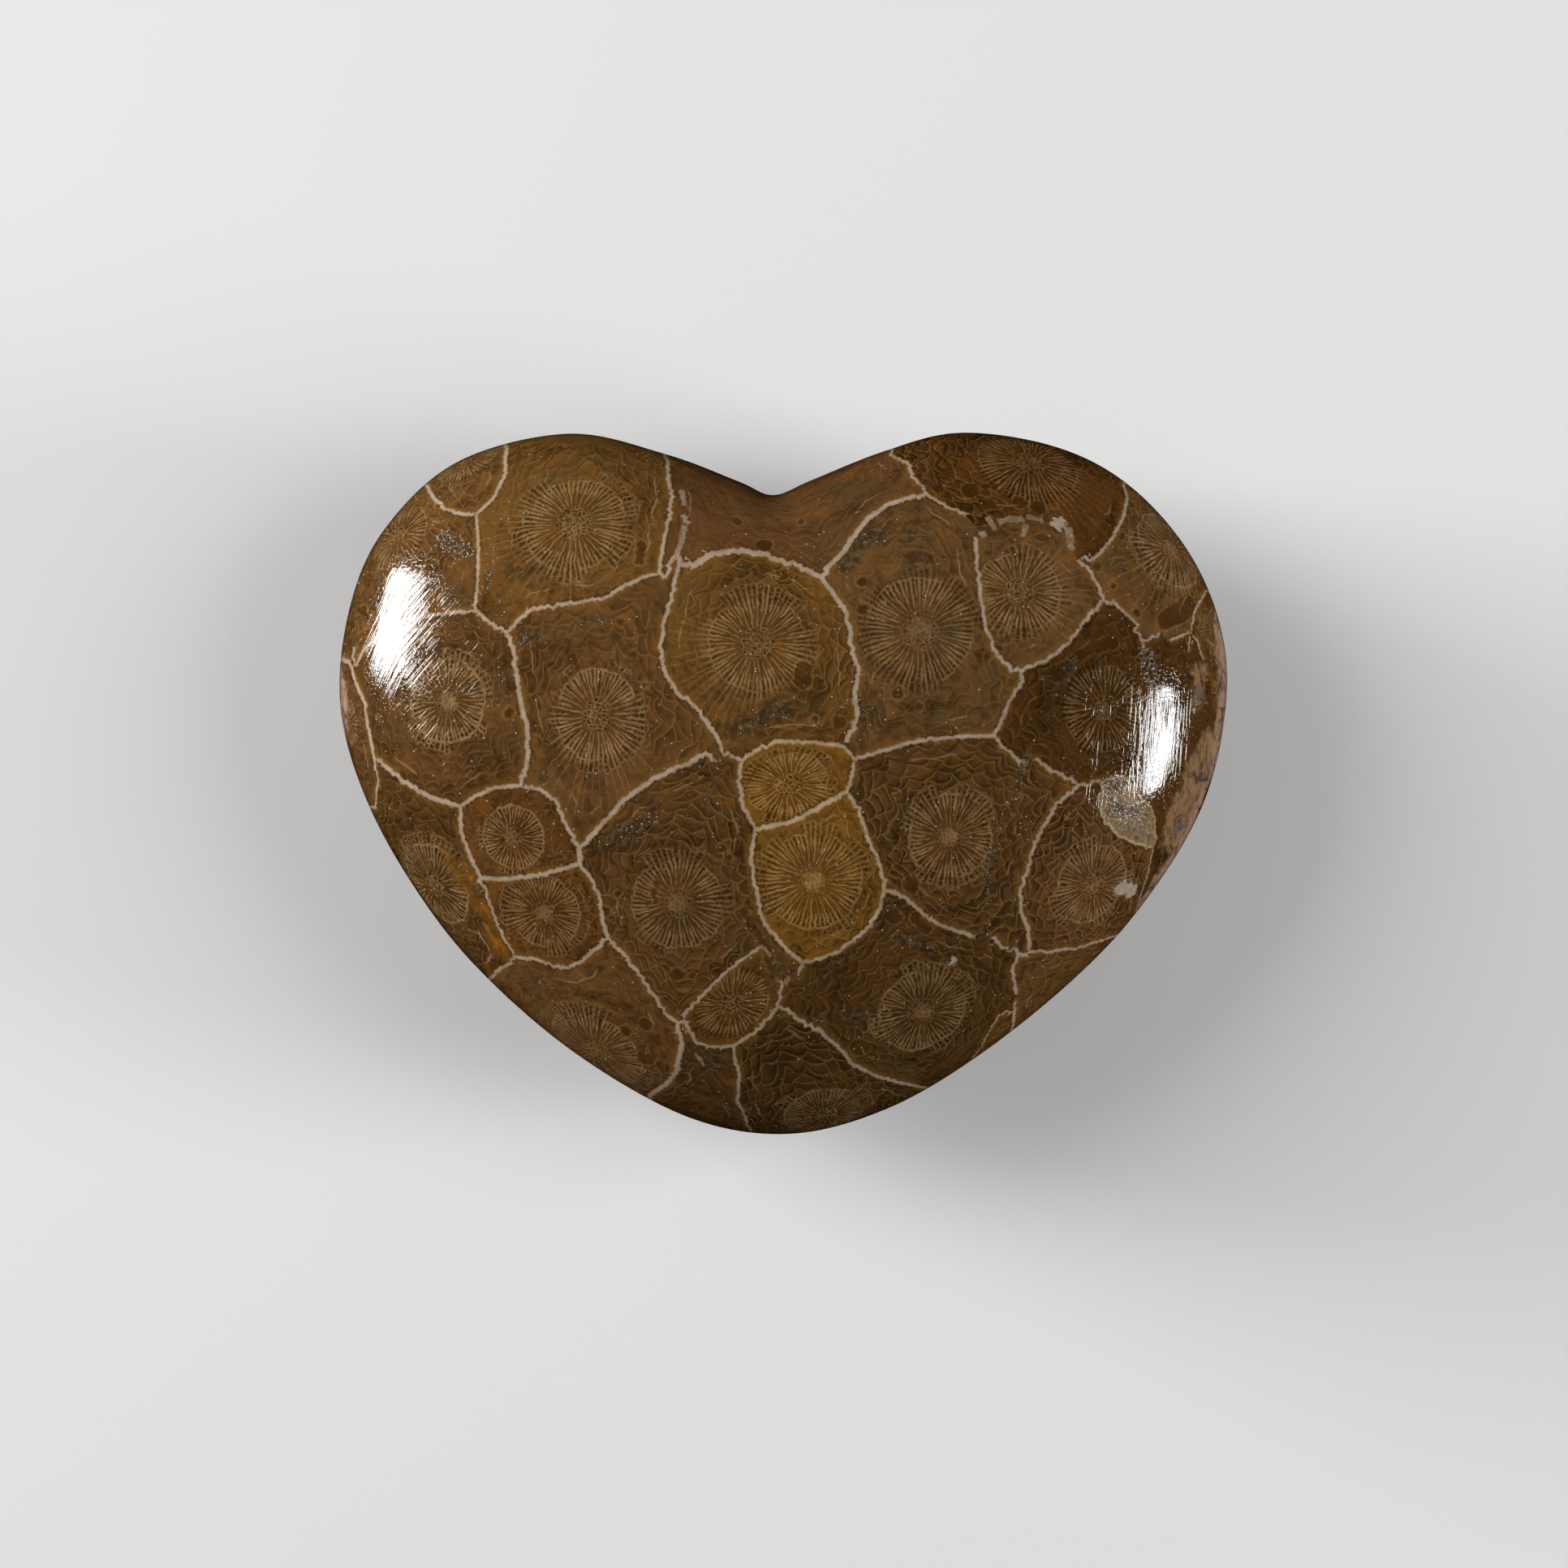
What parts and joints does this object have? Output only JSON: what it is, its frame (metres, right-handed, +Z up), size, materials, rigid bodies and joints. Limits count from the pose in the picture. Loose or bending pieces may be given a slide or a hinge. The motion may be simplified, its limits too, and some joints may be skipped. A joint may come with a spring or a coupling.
{
  "type": "heart-shaped fossil coral",
  "caption": "Puffed heart ground from one piece of fossil coral and polished, lying on a small flat ground under its domed back; a loose stone to display or hold.",
  "frame": {"origin": "on the surface that the stone lies on, under the middle of its outline", "axes": "+X across the two lobes, +Y towards the cleft, +Z up through the domed face"},
  "size_m": [0.07, 0.0554, 0.0277],
  "materials": {
    "fossil_coral": "polished"
  },
  "bodies": {
    "root": {"coral_heart": "fossil_coral"}
  },
  "joints": []
}
